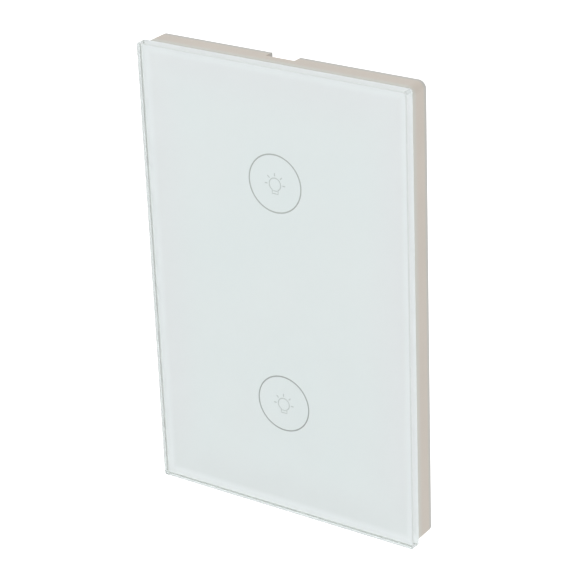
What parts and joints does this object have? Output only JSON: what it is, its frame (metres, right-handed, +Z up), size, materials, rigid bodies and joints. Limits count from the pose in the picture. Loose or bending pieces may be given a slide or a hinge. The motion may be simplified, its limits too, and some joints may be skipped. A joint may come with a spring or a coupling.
{
  "type": "smart touch wall switch",
  "caption": "Tall wall light switch with a clip-on glass touch front, ringed touch pads, an ivory frame and a rear box with rising-cage screw terminals.",
  "frame": {"origin": "on the wall plane, midway between the two wall-screw holes", "axes": "+Z up along the tall side, +Y into the wall; the glass front looks along -Y"},
  "size_m": [0.0768, 0.032, 0.12],
  "materials": {
    "glass": "polished clear tempered glass, white print behind",
    "adhesive": "soft foam adhesive",
    "frame_plastic": "satin ivory moulding, fine grain",
    "housing_plastic": "satin off-white moulding",
    "zinc_steel": "zinc plated",
    "circuit_board": "solder mask over glass fibre",
    "radio_board": "dark solder mask",
    "tinned_steel": "tinned sheet",
    "spring_steel": "plated wire",
    "led_resin": "clear resin in a white cup",
    "chip_resin": "moulded resin",
    "black_plastic": "moulded",
    "relay_case": "moulded case",
    "winding_tape": "polyester tape over copper wire",
    "capacitor_sleeve": "shrink sleeve on an aluminium can",
    "film_case": "moulded case",
    "varistor_coat": "dipped resin",
    "fuse_case": "moulded case",
    "ferrite": "ferrite drum with enamelled wire",
    "terminal_plastic": "moulded, glass filled",
    "plated_brass": "nickel plated"
  },
  "bodies": {
    "base": {"base_housing": "housing_plastic", "inner_cover": "housing_plastic", "cover_screws": "zinc_steel", "touch_board": "circuit_board", "touch_spring_upper": "spring_steel", "touch_spring_lower": "spring_steel", "led_upper": "led_resin", "led_lower": "led_resin", "touch_chip": "chip_resin", "radio_module": "radio_board", "radio_shield": "tinned_steel", "header_socket": "black_plastic", "pin_header": "black_plastic", "power_board": "circuit_board", "relay_left": "relay_case", "relay_right": "relay_case", "transformer": "winding_tape", "bulk_capacitor": "capacitor_sleeve", "output_capacitor": "capacitor_sleeve", "line_capacitor": "film_case", "varistor": "varistor_coat", "fuse": "fuse_case", "choke": "ferrite", "rectifier": "chip_resin", "terminal_block": "terminal_plastic", "contact_tab_1": "plated_brass", "contact_tab_2": "plated_brass", "contact_tab_3": "plated_brass", "contact_tab_4": "plated_brass"},
    "front_panel": {"glass_panel": "glass", "bonding_gasket": "adhesive", "front_frame": "frame_plastic"},
    "terminal_screw_1": {"terminal_screw_1": "zinc_steel"},
    "clamp_cage_1": {"clamp_cage_1": "plated_brass"},
    "terminal_screw_2": {"terminal_screw_2": "zinc_steel"},
    "clamp_cage_2": {"clamp_cage_2": "plated_brass"},
    "terminal_screw_3": {"terminal_screw_3": "zinc_steel"},
    "clamp_cage_3": {"clamp_cage_3": "plated_brass"},
    "terminal_screw_4": {"terminal_screw_4": "zinc_steel"},
    "clamp_cage_4": {"clamp_cage_4": "plated_brass"}
  },
  "joints": [
    {"name": "front_panel_pull", "type": "slide", "parent": "base", "child": "front_panel", "axis": [0, -1, 0], "range_m": [0, 0.025]},
    {"name": "clamp_cage_1_rise", "type": "slide", "parent": "base", "child": "clamp_cage_1", "axis": [0, 1, 0], "range_m": [0, 0.00233]},
    {"name": "terminal_screw_1_turn", "type": "hinge", "parent": "base", "child": "terminal_screw_1", "pos_m": [-0.0165, 0.0184, -0.0255], "axis": [0, -1, 0], "range_deg": [0, 1200]},
    {"name": "clamp_cage_2_rise", "type": "slide", "parent": "base", "child": "clamp_cage_2", "axis": [0, 1, 0], "range_m": [0, 0.00233]},
    {"name": "terminal_screw_2_turn", "type": "hinge", "parent": "base", "child": "terminal_screw_2", "pos_m": [-0.0055, 0.0184, -0.0255], "axis": [0, -1, 0], "range_deg": [0, 1200]},
    {"name": "clamp_cage_3_rise", "type": "slide", "parent": "base", "child": "clamp_cage_3", "axis": [0, 1, 0], "range_m": [0, 0.00233]},
    {"name": "terminal_screw_3_turn", "type": "hinge", "parent": "base", "child": "terminal_screw_3", "pos_m": [0.0055, 0.0184, -0.0255], "axis": [0, -1, 0], "range_deg": [0, 1200]},
    {"name": "clamp_cage_4_rise", "type": "slide", "parent": "base", "child": "clamp_cage_4", "axis": [0, 1, 0], "range_m": [0, 0.00233]},
    {"name": "terminal_screw_4_turn", "type": "hinge", "parent": "base", "child": "terminal_screw_4", "pos_m": [0.0165, 0.0184, -0.0255], "axis": [0, -1, 0], "range_deg": [0, 1200]}
  ],
  "couplings": [
    {"joint": "terminal_screw_1_turn", "follows": "clamp_cage_1_rise", "rad_per_m": 8976},
    {"joint": "terminal_screw_2_turn", "follows": "clamp_cage_2_rise", "rad_per_m": 8976},
    {"joint": "terminal_screw_3_turn", "follows": "clamp_cage_3_rise", "rad_per_m": 8976},
    {"joint": "terminal_screw_4_turn", "follows": "clamp_cage_4_rise", "rad_per_m": 8976}
  ]
}
